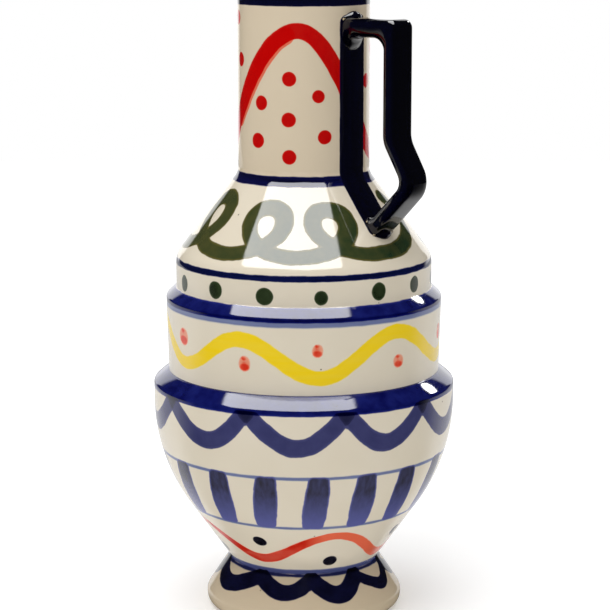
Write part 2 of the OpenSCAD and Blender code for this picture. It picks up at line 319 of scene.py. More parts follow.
def paintedGlaze(name, bodies, layers, bare=None):
    material = bpy.data.materials.new(name)
    tree = emptyTree(material)
    place = addNode(tree, "ShaderNodeTexCoord").outputs["Object"]
    body = np.array(linear(bodies[0])[:3])

    clouds = addNode(tree, "ShaderNodeTexNoise", None, {
        "Vector": place, "Scale": 28.0, "Detail": 3.0})  # 36 mm
    colour = addNode(tree, "ShaderNodeMix", {"data_type": "RGBA"}, {
        0: clouds.outputs["Fac"], 6: linear(bodies[0]), 7: linear(bodies[1])}).outputs[2]

    # sparse iron specks, half a millimetre across in cells of 12 mm
    cells = addNode(tree, "ShaderNodeTexVoronoi", None, {"Vector": place, "Scale": 85.0})
    speck = addNode(tree, "ShaderNodeMapRange", None, {
        "Value": cells.outputs["Distance"], "From Min": 0.05, "From Max": 0.02})
    rare = addNode(tree, "ShaderNodeSeparateColor", None, {"Color": cells.outputs["Color"]})
    some = addNode(tree, "ShaderNodeMath", {"operation": "GREATER_THAN"}, {0: rare.outputs[0], 1: 0.72})
    speck = addNode(tree, "ShaderNodeMath", {"operation": "MULTIPLY"}, {
        0: speck.outputs[0], 1: some.outputs[0]})
    colour = addNode(tree, "ShaderNodeMix", {"data_type": "RGBA"}, {
        0: speck.outputs[0], 6: colour, 7: linear(glaze["speck"])}).outputs[2]

    # the brush's path wavers over some 9 mm, and its hairs leave a finer edge. Fac is 0.5 on average.
    waver = addNode(tree, "ShaderNodeTexNoise", None, {"Vector": place, "Scale": 110.0, "Detail": 3.0})
    waver = addNode(tree, "ShaderNodeMath", {"operation": "SUBTRACT"}, {0: waver.outputs["Fac"], 1: 0.5})

    # streaks of the hairs: about 2.4 mm apart, drawn out to 55 mm along the stroke, or 8 mm both ways
    # where it turns freely
    grains = {"level": (18, 18, 420), "upright": (420, 420, 18), "free": (120, 120, 120)}
    streaks = {}
    for kind in sorted({layer["grain"] for layer in layers}):
        pulled = addNode(tree, "ShaderNodeVectorMath", {"operation": "MULTIPLY"}, {0: place, 1: grains[kind]})
        streaks[kind] = addNode(tree, "ShaderNodeTexNoise", None, {
            "Vector": pulled.outputs[0], "Scale": 1.0, "Detail": 3.0}).outputs["Fac"]

    for layer in layers:
        if "ring" in layer:     # between two heights
            low, high = layer["ring"]
            level = addNode(tree, "ShaderNodeAttribute", {"attribute_name": "level"})
            gap = addNode(tree, "ShaderNodeMath", {"operation": "SUBTRACT"}, {
                0: level.outputs["Fac"], 1: (low + high) / 2})
            gap = addNode(tree, "ShaderNodeMath", {"operation": "ABSOLUTE"}, {0: gap.outputs[0]})
            gap = addNode(tree, "ShaderNodeMath", {"operation": "SUBTRACT"}, {
                0: gap.outputs[0], 1: (high - low) / 2}).outputs[0]
        else:
            gap = addNode(tree, "ShaderNodeAttribute", {"attribute_name": layer["field"]}).outputs["Fac"]
        gap = addNode(tree, "ShaderNodeMath", {"operation": "MULTIPLY_ADD"}, {
            0: waver.outputs[0], 1: layer["waver"], 2: gap}).outputs[0]
        cover = addNode(tree, "ShaderNodeMapRange", {"interpolation_type": "SMOOTHSTEP"}, {
            "Value": gap, "From Min": layer["soft"], "From Max": -layer["soft"]}).outputs[0]
        load = addNode(tree, "ShaderNodeMapRange", {"interpolation_type": "SMOOTHSTEP"}, {
            "Value": gap, "From Min": 0.0, "From Max": -layer["depth"]}).outputs[0]
        streak = addNode(tree, "ShaderNodeMapRange", None, {
            "Value": streaks[layer["grain"]], "From Min": 0.3, "From Max": 0.7,
            "To Min": 1 - layer["uneven"], "To Max": 1.0}).outputs[0]
        load = addNode(tree, "ShaderNodeMath", {"operation": "MULTIPLY"}, {0: load, 1: streak}).outputs[0]
        if "fade" in layer:
            fade = addNode(tree, "ShaderNodeAttribute", {"attribute_name": layer["fade"]}).outputs["Fac"]
            load = addNode(tree, "ShaderNodeMath", {"operation": "MULTIPLY"}, {0: load, 1: fade}).outputs[0]
        # thin colours filter what lies under them, and an opaque one covers it
        opaque = "opaque" in layer
        below = np.ones(3) if opaque else body
        tints = [list(np.array(linear(layer[end])[:3]) / below) + [1.0] for end in ("thin", "thick")]
        tint = addNode(tree, "ShaderNodeMix", {"data_type": "RGBA"}, {
            0: load, 6: tints[0], 7: tints[1]}).outputs[2]
        colour = addNode(tree, "ShaderNodeMix", {
            "data_type": "RGBA", "blend_type": "MIX" if opaque else "MULTIPLY"}, {
            0: cover, 6: colour, 7: tint}).outputs[2]

    shine = addNode(tree, "ShaderNodeMapRange", None, {
        "Value": clouds.outputs["Fac"], "From Min": 0.3, "From Max": 0.7,
        "To Min": glaze["rough"][0], "To Max": glaze["rough"][1]}).outputs[0]
    if bare:
        # the ring that it stands on is wiped clean of glaze and shows matt clay
        grit = addNode(tree, "ShaderNodeTexNoise", None, {
            "Vector": place, "Scale": 900.0, "Detail": 2.0})  # 1 mm
        edge = addNode(tree, "ShaderNodeAttribute", {"attribute_name": bare}).outputs["Fac"]
        edge = addNode(tree, "ShaderNodeMath", {"operation": "MULTIPLY_ADD"}, {
            0: waver.outputs[0], 1: 1.2, 2: edge}).outputs[0]
        wiped = addNode(tree, "ShaderNodeMapRange", {"interpolation_type": "SMOOTHSTEP"}, {
            "Value": edge, "From Min": 0.2, "From Max": -0.2}).outputs[0]
        matt = addNode(tree, "ShaderNodeMix", {"data_type": "RGBA", "blend_type": "OVERLAY"}, {
            0: 0.5, 6: linear(glaze["bareClay"]), 7: grit.outputs["Color"]}).outputs[2]
        colour = addNode(tree, "ShaderNodeMix", {"data_type": "RGBA"}, {
            0: wiped, 6: colour, 7: matt}).outputs[2]
        shine = addNode(tree, "ShaderNodeMix", None, {0: wiped, 2: shine, 3: glaze["clayRough"]}).outputs[0]

    # the glaze's skin: slow ripples and a fine peel
    ripple = addNode(tree, "ShaderNodeTexNoise", None, {
        "Vector": place, "Scale": 45.0, "Detail": 1.0})  # 22 mm
    bump = addNode(tree, "ShaderNodeBump", None, {
        "Strength": 1.0, "Distance": glaze["ripple"], "Height": ripple.outputs["Fac"]})
    peel = addNode(tree, "ShaderNodeTexNoise", None, {
        "Vector": place, "Scale": 420.0, "Detail": 1.0})  # 2.4 mm
    bump = addNode(tree, "ShaderNodeBump", None, {
        "Strength": 1.0, "Distance": glaze["peel"], "Height": peel.outputs["Fac"], "Normal": bump.outputs[0]})
    shader = addNode(tree, "ShaderNodeBsdfPrincipled", None, {
        "Base Color": colour, "Roughness": shine, "IOR": glaze["ior"], "Normal": bump.outputs[0]})
    addNode(tree, "ShaderNodeOutputMaterial", None, {"Surface": shader.outputs[0]})
    return material


def finish(piece, node, material):
    piece.data.materials.clear()
    piece.data.materials.append(material)
    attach(piece, "root")
    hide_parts(node)
    print(piece.name, "made with", len(piece.data.polygons), "faces")


# Foot: a flared ring on a round edge, with scallops hung from the waist
foot = {"radius": 55.8, "baseRound": 6.0, "corner": 8.5, "bend": 1.5, "waist": 42.4, "height": 29.0,
        "ringWidth": 5.0, "wiped": 0.7, "around": 300, "steps": (1.0, 3.0),
        "scallops": [(-80, 7.4, 5.0), (-32.5, 6.8, 4.7), (5.5, 8.3, 5.1), (39.5, 8.5, 3.5), (77, 7.2, 4.7),
                     (111, 6.9, 4.6), (145, 7.3, 4.8), (179, 6.8, 4.6), (213, 7.2, 4.7), (247, 7.0, 4.6)],
        "scallopTop": 25.9}

flare = math.atan((foot["radius"] - foot["waist"]) / (foot["height"] - foot["corner"]))
ringIn = foot["radius"] - foot["baseRound"] - foot["ringWidth"]
outside = finer(
    [(ringIn + 1, 0)]
    + roundCorner((ringIn, 0), (foot["radius"], 0), (foot["radius"], foot["corner"]), foot["baseRound"])
    + roundCorner((foot["radius"], 0), (foot["radius"], foot["corner"]), (foot["waist"], foot["height"]),
                  foot["bend"] / math.tan(flare / 2))
    + [(foot["waist"], foot["height"])], foot["steps"][0])
inside = finer(spigotLine(foot["waist"], foot["height"]) + [(ringIn, 0)], foot["steps"][1])
footShell = turnShell("footShell", outside, inside, foot["around"])
skin = skinOf(footShell, outside)
keepField(skin, "scallops", strokeField(skin, scallopStrokes(foot["scallops"], foot["scallopTop"])))
keepLevel(skin, skin["points"][:, 2])
onRing = (skin["radius"] > ringIn - 0.1) & (skin["points"][:, 2] < 4)
keepValues(footShell, "bare", np.where(onRing, skin["points"][:, 2] - foot["wiped"], 9.0))
waistRing = dict(coat, thin="#6A739E", thick="#474D82", grain="level", soft=0.35, waver=0.8)
finish(footShell, "foot", paintedGlaze("footUnderglaze", glaze["footCream"], [
    dict(coat, field="scallops", thin="#141640", thick="#06061A", uneven=0.45, soft=0.25),
    dict(coat, ring=(26.8, 28.4), thin="#30366C", thick="#161A42", grain="level", uneven=0.4, depth=0.5,
         soft=0.35, waver=0.8),
    dict(waistRing, ring=(28.2, 48.0), depth=0.3)], bare="bare"))


# Belly: a bowl with a sloping ledge on top, under scallops, upright strokes and a waving line
belly = {"waist": 42.4, "bottom": 29.0, "radius": 84.95, "bend": 88.67, "round": 102.9, "top": 138.5,
         "ledge": 8.6, "ledgeCorner": 131.9, "ledgeRound": 3.0, "drum": 76.4, "floor": 41.6, "around": 360,
         "steps": (1.35, 6.0), "swell": 0.15,
         "scallops": [(-58.5, 18.4, 5.0), (-21.5, 18.6, 5.1), (15.5, 18.2, 5.1), (49.5, 18.4, 5.0),
                      (85, 18.6, 5.1), (121, 18.2, 4.9), (157, 18.5, 5.1), (193, 18.1, 5.0),
                      (229, 18.6, 5.1), (265, 18.3, 5.0)], "scallopTop": 130.2, "scallopCut": 131.0,
         "strokeLow": 61.6, "strokeHigh": 95.0, "strokeHalf": 5.7, "strokeRound": 2.2, "strokeSwell": 1.4,
         "dip": (61, 24),
         "strokes": [(-57.8, 4.3), (-36.5, 2.6), (-16.2, 3.5), (5, 2), (25.2, -0.5), (45, -1), (66, -1),
                     (87.5, 1), (109, 2), (130.5, 0), (152, 1.5), (173.5, -1), (195, 2), (216.5, 1),
                     (238, 0), (259.5, 2), (281, 3)],
         "wave": [(-68, 55, 2.2), (-28, 38.3, 3.8), (17, 55.5, 3.0), (60, 36.6, 3.2), (104, 55, 2.3),
                  (150, 37.5, 2.7), (196, 55, 2.4), (242, 37.5, 2.4)],
         "dots": [(-25, 50.8, 8.3, 8.0), (17.5, 37.5, 8.3, 8.4), (63, 49.5, 8.0, 8.2), (104, 37.5, 8.2, 8.0),
                  (150, 50.5, 8.4, 8.0), (196, 37.5, 8.0, 8.2), (240, 50.0, 8.2, 8.0),
                  (-66, 38.0, 8.0, 8.0)]}

seam = belly["bottom"] + clay["slip"]
bowl = roundCorner((belly["waist"], seam), (belly["radius"], belly["bend"]), (belly["radius"], belly["top"]),
                   belly["round"], 40)
ledge = roundCorner((belly["radius"], belly["bend"]), (belly["radius"], belly["ledgeCorner"]),
                    (belly["drum"], belly["top"]), belly["ledgeRound"], 8)
outside = finer(
    [(belly["waist"], belly["bottom"])] + bowl + ledge
    + bulged(ledge[-1], (belly["drum"], belly["top"]), belly["swell"])[1:]
    + [(belly["drum"] - clay["skirt"], belly["top"])], belly["steps"][0])
lean = (belly["radius"] - belly["waist"]) / (belly["bend"] - seam)
inside = finer(
    spigotLine(belly["drum"], belly["top"]) + [(belly["drum"] - clay["wall"], belly["top"] - belly["ledge"])]
    + [(r - clay["wall"], z) for r, z in reversed(bowl[::3])]
    + [(belly["waist"] + (belly["floor"] - seam) * lean - clay["wall"], belly["floor"]), (0, belly["floor"])],
    belly["steps"][1])
nest = socketLine(belly["waist"], belly["bottom"], 0)[1:]
under = finer([(0, nest[0][1])] + nest, belly["steps"][1])
bellyShell = turnShell("bellyShell", under + outside, inside, belly["around"])
skin = skinOf(bellyShell, outside)
scallops = scallopStrokes(belly["scallops"], belly["scallopTop"])
ledgeCut = skin["points"][:, 2] - belly["scallopCut"]
even, odd = strokeField(skin, scallops[0::2]), strokeField(skin, scallops[1::2])
keepField(skin, "scallops", np.maximum(np.minimum(even, odd), ledgeCut))
keepField(skin, "crossings", np.maximum(np.maximum(even, odd), ledgeCut))
keepField(skin, "upright", patchField(skin, [
    (angle, belly["strokeLow"] + 0.3 * hand.randn(), belly["strokeHigh"] + 0.3 * hand.randn(),
     belly["strokeHalf"] + 0.2 * hand.randn(), tilt, belly["strokeRound"], belly["strokeSwell"])
    for angle, tilt in belly["strokes"]]))
keepField(skin, "wave", strokeField(skin, [waveStroke(belly["wave"])]))
keepField(skin, "dots", dotField(skin, belly["dots"]))
keepLevel(skin, skin["points"][:, 2])
# the brush starts full at each stroke's top, and the waving line's brush runs dry and is filled again
keepValues(bellyShell, "dip", np.clip((skin["points"][:, 2] - belly["dip"][0]) / belly["dip"][1], 0.1, 1))
keepValues(bellyShell, "spent", np.clip(0.5 - 2.5 * np.sin(np.radians(2 * (skin["angle"] - 6))), 0.12, 1))
indigo = dict(coat, thin="#484A78", thick="#373964", uneven=0.4, depth=1.8)
cobalt = dict(coat, thin="#202A7A", thick="#04074A", depth=1.4, waver=0.9)
wash = dict(coat, thin="#8A94B0", thick="#66709A", grain="level", depth=0.4, soft=0.4, waver=0.7)
finish(bellyShell, "belly", paintedGlaze("bellyUnderglaze", glaze["cream"], [
    dict(cobalt, ring=(129.0, 200.0)),
    dict(indigo, field="scallops"),
    dict(indigo, field="crossings", thin="#A8A094", thick="#7C7670"),
    dict(wash, ring=(93.0, 95.0)), dict(wash, ring=(61.0, 62.9)),
    dict(coat, field="upright", opaque=True, fade="dip", thin="#5C609A", thick="#34333F", grain="upright",
         uneven=0.25, depth=1.4, waver=1.8),
    dict(coat, field="wave", fade="spent", thin="#E66E50", thick="#C41A0C", uneven=0.2, depth=0.7,
         waver=1.2),
    dict(coat, field="dots", thin="#2A2838", thick="#0B0A12", uneven=0.6, soft=0.25, waver=1.0),
    dict(waistRing, ring=(10.0, 31.5))]))


# Middle drum: an upright ring with a sloping ledge, a yellow wave and watery dots
drum = {"low": 76.4, "high": 77.4, "bottom": 138.5, "top": 185.5, "ledge": 5.6, "ledgeCorner": 180.4,
        "ledgeRound": 2.0, "band": 71.8, "around": 360, "steps": (1.2, 5.0), "swell": 0.1, "flareTop": 175.3,
        "wave": [(-57, 149.3, 3.5), (-26.5, 167.9, 4.5), (6.5, 148, 4.3), (40, 170.3, 4.2), (74, 149.5, 3.8),
                 (104, 169, 4.2), (133, 148.5, 4.0), (162, 169.5, 4.3), (190, 149, 4.0), (219, 168.5, 4.3),
                 (247, 148.5, 4.0), (275, 169, 4.2)],
        "dots": [(-58.5, 163.5, 9.0, 10.0), (-24.5, 154.6, 7.1, 8.7), (5.5, 163, 6.0, 7.4),
                 (41.5, 153.5, 7.6, 7.8), (76, 162.5, 8.0, 9.0), (104, 154, 7.2, 8.4), (134, 163, 7.4, 8.8),
                 (162, 154.5, 7.0, 8.2), (190, 163.5, 7.8, 9.2), (219, 153.5, 7.0, 8.4),
                 (248, 163, 7.6, 8.6), (275, 154, 7.2, 8.8)]}

ledge = roundCorner((drum["high"], drum["bottom"]), (drum["high"], drum["ledgeCorner"]),
                    (drum["band"], drum["top"]), drum["ledgeRound"], 8)
outside = finer(
    [(drum["low"], drum["bottom"] - clay["overlap"]), (drum["high"], drum["flareTop"])] + ledge
    + bulged(ledge[-1], (drum["band"], drum["top"]), drum["swell"])[1:]
    + [(drum["band"] - clay["skirt"], drum["top"])], drum["steps"][0])
ledgeLow = drum["top"] - drum["ledge"]
inside = finer(
    spigotLine(drum["band"], drum["top"])
    + [(drum["band"] - clay["wall"], ledgeLow), (drum["low"] - clay["wall"], ledgeLow - clay["wall"])]
    + socketLine(drum["low"], drum["bottom"], clay["overlap"]), drum["steps"][1])
drumShell = turnShell("drumShell", outside, inside, drum["around"])
skin = skinOf(drumShell, outside)
keepField(skin, "wave", strokeField(skin, [waveStroke(drum["wave"])]))
keepField(skin, "dots", dotField(skin, drum["dots"]))
# the watery paint gathers below and, a little, on top
keepField(skin, "pools", dotField(
    skin, [(a, z - 0.2 * tall, 0.86 * wide, 0.52 * tall) for a, z, wide, tall in drum["dots"]]
    + [(a - 0.4, z + 0.33 * tall, 0.42 * wide, 0.28 * tall) for a, z, wide, tall in drum["dots"]]))
keepLevel(skin, skin["points"][:, 2])
finish(drumShell, "middle_drum", paintedGlaze("drumUnderglaze", glaze["cream"], [
    dict(wash, ring=(175.4, 180.0), soft=0.6),
    dict(cobalt, ring=(178.0, 185.3), depth=1.2),
    dict(coat, field="wave", thin="#EDD350", thick="#F2D01A", grain="level", uneven=0.3, depth=0.8,
         soft=0.35),
    dict(coat, field="dots", thin="#E8A68C", thick="#DE8468", uneven=0.9, soft=0.4),
    dict(coat, field="pools", thin="#E0907A", thick="#D24C36", depth=0.9, soft=0.4)]))


# Shoulder: an upright band under a cone, with running loops on the cone and dots on the band
shoulder = {"band": 71.8, "bottom": 185.5, "bandTop": 203.1, "bandRound": 14.0, "coneTop": 249.5,
            "neck": 36.6, "collarRound": 10.0, "top": 253.5, "around": 360, "steps": (1.0, 5.0),
            "loops": [(66, 236, 4.8), (112, 237, 4.8), (158, 235.5, 5.0), (204, 236.5, 4.7), (250, 236, 4.9),
                      (295.6, 237.8, 5.0), (338.5, 235.0, 5.0), (374, 234.2, 5.9), (426, 236, 4.8)],
            "loopLow": 211.2, "loopReach": 14.9, "loopHalf": 4.8,
            "loopTail": [(404, 211.4, 4.6), (410, 211.9, 4.6), (416, 213, 4.7), (422, 214.8, 4.8),
                         (427.5, 217.4, 4.8), (432, 220.6, 4.7), (434.5, 225, 4.6), (434.5, 230, 4.6),
                         (432, 234.6, 4.6), (428, 237.2, 4.6)],
            "dots": [(-66, 191, 8.8, 9.4), (-41.5, 191.8, 9.4, 9.8), (-17, 191, 9.9, 9.8),
                     (7.5, 190.6, 7.5, 8.0), (34, 192, 9.0, 9.8), (57, 192.3, 8.8, 9.2),
                     (80.7, 191.5, 8.6, 9.0), (104.4, 191, 9.2, 9.4), (128.1, 191.8, 8.4, 8.8),
                     (151.8, 191.2, 9.0, 9.6), (175.5, 190.8, 8.8, 9.0), (199.2, 191.6, 9.4, 9.6),
                     (222.9, 191, 8.2, 8.6), (246.6, 191.5, 9.0, 9.2), (270.3, 191.2, 8.8, 9.4)],
            "strip": (47.4, 219.8, 285.0, 9.8, 0.0, 3.0, 0.0)}

coneLow, coneHigh = (shoulder["band"], shoulder["bandTop"]), (shoulder["neck"], shoulder["coneTop"])
outside = finer(
    [(shoulder["band"], shoulder["bottom"] - clay["overlap"])]
    + roundCorner((shoulder["band"], shoulder["bottom"]), coneLow, coneHigh, shoulder["bandRound"])
    + roundCorner(coneLow, coneHigh, (shoulder["neck"], shoulder["top"]), shoulder["collarRound"])
    + [(shoulder["neck"], shoulder["top"])], shoulder["steps"][0])
inside = finer(
    spigotLine(shoulder["neck"], shoulder["top"])
    + [(shoulder["neck"] - clay["wall"], shoulder["coneTop"]),
       (shoulder["band"] - clay["wall"], shoulder["bandTop"] - clay["wall"] / 2)]
    + socketLine(shoulder["band"], shoulder["bottom"], clay["overlap"]), shoulder["steps"][1])
shoulderShell = turnShell("shoulderShell", outside, inside, shoulder["around"])
skin = skinOf(shoulderShell, outside)
keepField(skin, "loops", strokeField(skin, [
    loopStroke(skin, shoulder["loops"], shoulder["loopLow"], shoulder["loopReach"], shoulder["loopHalf"],
               shoulder["loopTail"])]))
keepField(skin, "dots", dotField(skin, shoulder["dots"]))
keepField(skin, "strip", patchField(skin, [shoulder["strip"]]))
# painted light and shade: the loops are lighter and browner on the left, where the key light falls, and
# darker and greener towards the handle
keepValues(shoulderShell, "body", np.clip(0.88 + 0.16 * np.sin(np.radians(skin["angle"])), 0.3, 1))
keepLevel(skin, skin["points"][:, 2])
strip = dict(coat, field="strip", opaque=True, thin="#0B0C38", thick="#020209", grain="upright", uneven=0.2,
             depth=1.1, soft=0.25, waver=0.9)
finish(shoulderShell, "shoulder", paintedGlaze("shoulderUnderglaze", glaze["cream"], [
    dict(cobalt, ring=(199.0, 202.4), thin="#142060", thick="#02062C", grain="level", depth=0.7, waver=1.2),
    # the loops' fade by 'body' is painted light and shade: lighter on the left, darker towards the handle
    dict(coat, field="loops", fade="body", thin="#605A2E", thick="#203420", uneven=0.3, depth=1.6),
    dict(coat, field="dots", thin="#3C4A30", thick="#1B2614", soft=0.25, waver=1.2),
    dict(coat, ring=(250.2, 300.0), opaque=True, thin=glaze["warmCream"][0], thick=glaze["warmCream"][1],
         uneven=1.0, depth=0.5, waver=0.0),
    dict(cobalt, ring=(245.3, 250.8), thin="#12145A", thick="#05061C", grain="level", depth=0.9, waver=1.2),
    strip]))


# Neck: a straight tube with a round lip, a red wave round it and dots between its arches
neck = {"radius": 36.6, "bottom": 253.5, "top": 360.0, "lip": 2.6, "around": 240, "steps": (1.0, 5.0),
        "rim": 342.0, "rimInside": 350.0, "echo": [(-74, -16), (206, 228)],
        "wave": [(-111, 262, 5.6), (-5, 329.0, 4.3), (84, 262, 5.0), (167, 327, 4.3)],
        "dots": [(-12.5, 303.5, 8.0, 8.0), (12.5, 294, 7.0, 7.0), (-39, 290, 8.0, 8.0),
                 (-13, 281.5, 8.0, 8.0), (18, 272, 7.8, 7.8), (-43, 269.5, 8.8, 8.4),
                 (-12.5, 261.3, 7.8, 7.8), (-69, 312.5, 8.0, 8.0), (-77, 335, 8.0, 8.0),
                 (-98, 318, 8.0, 8.2), (-104, 294, 8.2, 8.0), (-112, 334, 7.8, 8.0), (-127, 314, 8.0, 8.0),
                 (-140, 334, 8.0, 7.8), (68, 301, 8.0, 8.0), (84, 318, 8.0, 8.0), (86, 289, 7.8, 8.0),
                 (104, 303, 8.0, 8.0), (70, 329, 8.0, 8.0), (104, 330, 8.2, 8.0), (160, 303, 8.0, 8.0),
                 (161, 281, 8.0, 8.0), (160, 261, 7.8, 8.0), (186, 294, 7.8, 8.0), (190, 271, 8.0, 8.0),
                 (140, 287, 8.0, 8.0), (131, 269, 8.2, 8.0)],
        "strip": (47.6, 225.0, 337.3, 10.0, 0.0, 4.2, 0.0)}

outside = finer(
    [(neck["radius"], neck["bottom"])]
    + roundCorner((neck["radius"], neck["bottom"]), (neck["radius"], neck["top"]),
                  (neck["radius"] - clay["wall"], neck["top"]), neck["lip"])
    + roundCorner((neck["radius"], neck["top"]), (neck["radius"] - clay["wall"], neck["top"]),
                  (neck["radius"] - clay["wall"], neck["bottom"]), neck["lip"])
    + [(neck["radius"] - clay["wall"], neck["rimInside"] - 6)], neck["steps"][0])
inside = finer(socketLine(neck["radius"], neck["bottom"], 0), neck["steps"][1])
neckShell = turnShell("neckShell", outside, inside, neck["around"])
skin = skinOf(neckShell, outside)
skin["outer"] &= skin["radius"] > neck["radius"] - clay["wall"] / 2
arch = waveStroke(neck["wave"])
keepField(skin, "wave", strokeField(skin, [arch]))
# a first, thinner pass of the brush shows inside the arches
keepField(skin, "echo", strokeField(skin, [
    [(a + 2.6, z - 0.4, h) for a, z, h in arch if any(low < a < high for low, high in neck["echo"])]]))
keepField(skin, "dots", dotField(skin, neck["dots"]))
# the strip behind the handle is measured by height, and the rim's blue goes on over the lip to the inside
skin["along"] = skin["points"][:, 2]
skin["line"] = np.array([(neck["radius"], 200.0), (neck["radius"], 400.0)])
skin["run"] = np.array([200.0, 400.0])
keepField(skin, "strip", patchField(skin, [neck["strip"]]))
lip = np.where(skin["outer"], skin["points"][:, 2], skin["points"][:, 2] - neck["rimInside"] + neck["rim"])
skin["outer"][:] = True
keepLevel(skin, lip)
red = dict(coat, thin="#C82216", thick="#BC0306", uneven=0.3, depth=0.9, soft=0.25, waver=1.3)
finish(neckShell, "neck", paintedGlaze("neckUnderglaze", glaze["warmCream"], [
    dict(red, field="echo", thin="#E08A70", thick="#DC6A50", depth=0.3), dict(red, field="wave"),
    dict(red, field="dots", waver=0.9), strip,
    dict(strip, ring=(neck["rim"], 460.0), thick="#04051A", grain="level", waver=0.6)]))


# Handle: a strap with a flat outer face and a round inner one, drawn round its bends ring by ring
strap = {"width": 17.0, "thick": [10.6, 10.6, 9.8, 9.8], "grip": 72.3, "arm": 335.9, "kick": 271.9,
         "kickAngle": 31.5, "kickLength": 28.2, "lowerAngle": 45.0, "topOuter": 4.0, "topInner": 9.0,
         "kickRound": 14.0, "kneeOuter": 14.0, "kneeInner": 6.0, "root": 7.0, "bury": 4.0, "edge": 0.36,
         "outerPower": 0.45, "innerPower": 0.9, "sides": 36, "step": 3.0, "thinEdge": 0.93,
         "cobalt": ("#020208", "#05061E"), "rough": (0.03, 0.07), "ripple": 0.00025}

kick = math.radians(strap["kickAngle"])
lower = math.radians(strap["lowerAngle"])
knee = np.array([strap["grip"] + strap["kickLength"] * math.sin(kick),
                 strap["kick"] - strap["kickLength"] * math.cos(kick)])
slope = (coneLow[0] - coneHigh[0]) / (coneHigh[1] - coneLow[1])
toCone = (knee[0] - coneLow[0] + (knee[1] - coneLow[1]) * slope) / (math.cos(lower) + math.sin(lower) * slope)
inArm = -np.array([math.cos(lower), math.sin(lower)])
lowerRoot = knee + inArm * toCone
outerLine = [np.array(p, float) for p in (
    (neck["radius"], strap["arm"]), (strap["grip"], strap["arm"]), (strap["grip"], strap["kick"]), knee,
    lowerRoot)]


def inward(a, b):
    step = (b - a) / np.linalg.norm(b - a)
    return np.array([step[1], -step[0]])


sides = [inward(a, b) for a, b in zip(outerLine, outerLine[1:])]
innerLine = [outerLine[0] + sides[0] * strap["thick"][0]]
for i in (1, 2, 3):
    offset = np.linalg.solve(np.array(sides[i - 1:i + 1]), strap["thick"][i - 1:i + 1])
    innerLine.append(outerLine[i] + offset)
innerLine.append(lowerRoot + sides[3] * strap["thick"][3])


def rootRings(at, out, side, thick):
    # from inside the wall to the end of the fillet
    rings = []
    for d in (-strap["bury"], *np.linspace(0, strap["root"], 9)):
        more = strap["root"] - math.sqrt(strap["root"] ** 2 - (strap["root"] - max(d, 0)) ** 2)
        rings.append((at + out * d, at + out * d + side * (thick + more)))
    return rings


def bendRings(i, outerRound, innerRound):
    outer = roundCorner(outerLine[i - 1], outerLine[i], outerLine[i + 1], outerRound)
    inner = roundCorner(innerLine[i - 1], innerLine[i], innerLine[i + 1], innerRound)
    return [(np.array(a), np.array(b)) for a, b in zip(outer, inner)]


corners = [
    rootRings(outerLine[0], np.array([1.0, 0]), sides[0], strap["thick"][0]),
    bendRings(1, strap["topOuter"], strap["topInner"]),
    bendRings(2, strap["kickRound"], strap["kickRound"]),
    bendRings(3, strap["kneeOuter"], strap["kneeInner"]),
    rootRings(lowerRoot, -inArm, sides[3], strap["thick"][3])[::-1]]
rings = list(corners[0])
for part in corners[1:]:
    a, b = rings[-1], part[0]
    count = max(1, round(np.linalg.norm(b[0] - a[0]) / strap["step"]))
    rings += [(a[0] + (b[0] - a[0]) * i / count, a[1] + (b[1] - a[1]) * i / count) for i in range(1, count)]
    rings += part


def strapSection(ring):
    points = []
    for i in range(strap["sides"]):
        turn = 2 * math.pi * i / strap["sides"]
        s, c = math.sin(turn), math.cos(turn)
        power = strap["outerPower"] if s > 0 else strap["innerPower"]
        share = strap["edge"] if s > 0 else 1 - strap["edge"]
        depth = strap["edge"] - share * math.copysign(abs(s) ** power, s)
        middle = ring[0] + (ring[1] - ring[0]) * depth
        points.append((middle[0] * mm, math.copysign(abs(c) ** power, c) * strap["width"] / 2 * mm,
                       middle[1] * mm))
    return points


def sweepRings(name, sections):
    # a ring of points is set at its place and extruded from section to section
    bpy.ops.object.select_all(action="DESELECT")
    bpy.ops.mesh.primitive_circle_add(vertices=len(sections[0]), radius=0.01, fill_type="NGON")
    piece = bpy.context.object
    piece.name = name
    bpy.ops.object.mode_set(mode="EDIT")
    bpy.ops.mesh.select_all(action="SELECT")
    for step, section in enumerate(sections):
        if step:
            bpy.ops.mesh.extrude_region_move()
        mesh = bmesh.from_edit_mesh(piece.data)
        mesh.verts.ensure_lookup_table()
        for vertex, spot in zip(mesh.verts[-len(section):], section):
            vertex.co = spot
        bmesh.update_edit_mesh(piece.data)
    bpy.ops.mesh.select_all(action="SELECT")
    bpy.ops.mesh.remove_doubles(threshold=0.00001)
    bpy.ops.mesh.normals_make_consistent(inside=False)
    bpy.ops.object.mode_set(mode="OBJECT")
    bpy.ops.object.shade_smooth()
    return piece


strapHandle = sweepRings("strapHandle", [strapSection(ring) for ring in rings])


